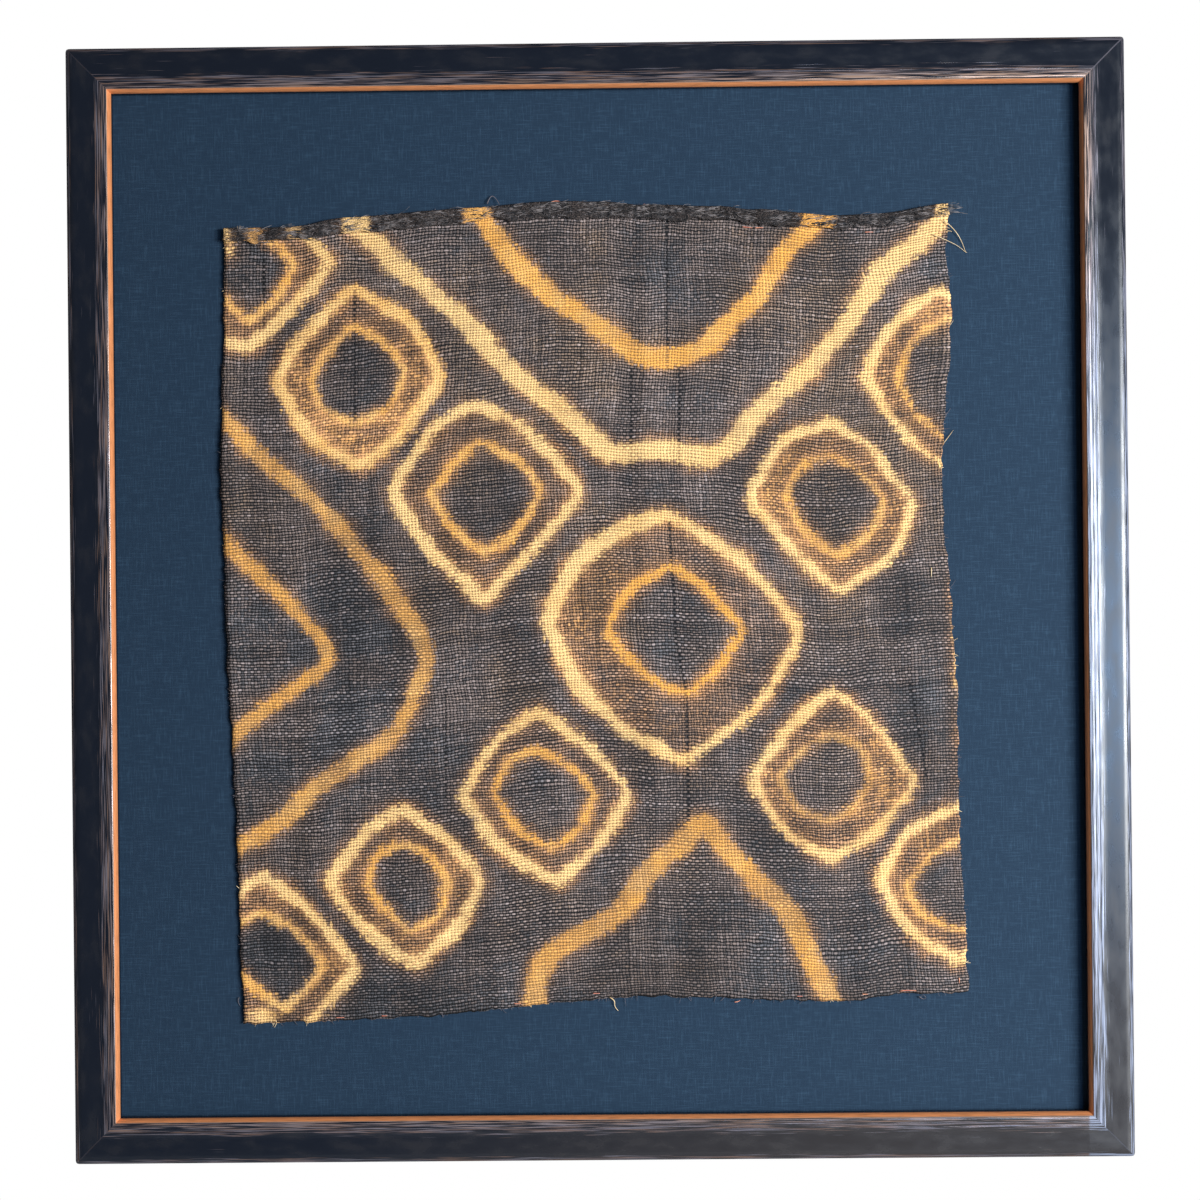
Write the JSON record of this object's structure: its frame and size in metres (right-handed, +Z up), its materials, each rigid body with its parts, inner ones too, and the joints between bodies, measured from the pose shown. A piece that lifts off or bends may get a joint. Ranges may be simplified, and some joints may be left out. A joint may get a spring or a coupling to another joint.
{
  "type": "kuba raffia cloth in a wooden frame",
  "caption": "Resist-dyed raffia cloth tacked to blue linen over a board, in a dark mitred wooden frame with a copper coloured lip, to hang on a wall.",
  "frame": {"origin": "the middle of the board's back, which is flush with the backs of the rails", "axes": "+Z up as it hangs, +X to the right seen from the front, +Y into the wall; the front faces -Y"},
  "size_m": [0.76, 0.0236, 0.802],
  "materials": {
    "raffia": "coarse plain weave, resist dyed charcoal, cream and orange",
    "linen": "fine blue linen",
    "board": "plain fibreboard",
    "frame_paint": "dark satin paint rubbed through to copper brown, copper coloured lip"
  },
  "bodies": {
    "root": {"raffia_cloth": "raffia", "mount_linen": "linen", "mount_board": "board", "rail_top": "frame_paint", "rail_bottom": "frame_paint", "rail_left": "frame_paint", "rail_right": "frame_paint"}
  },
  "joints": []
}
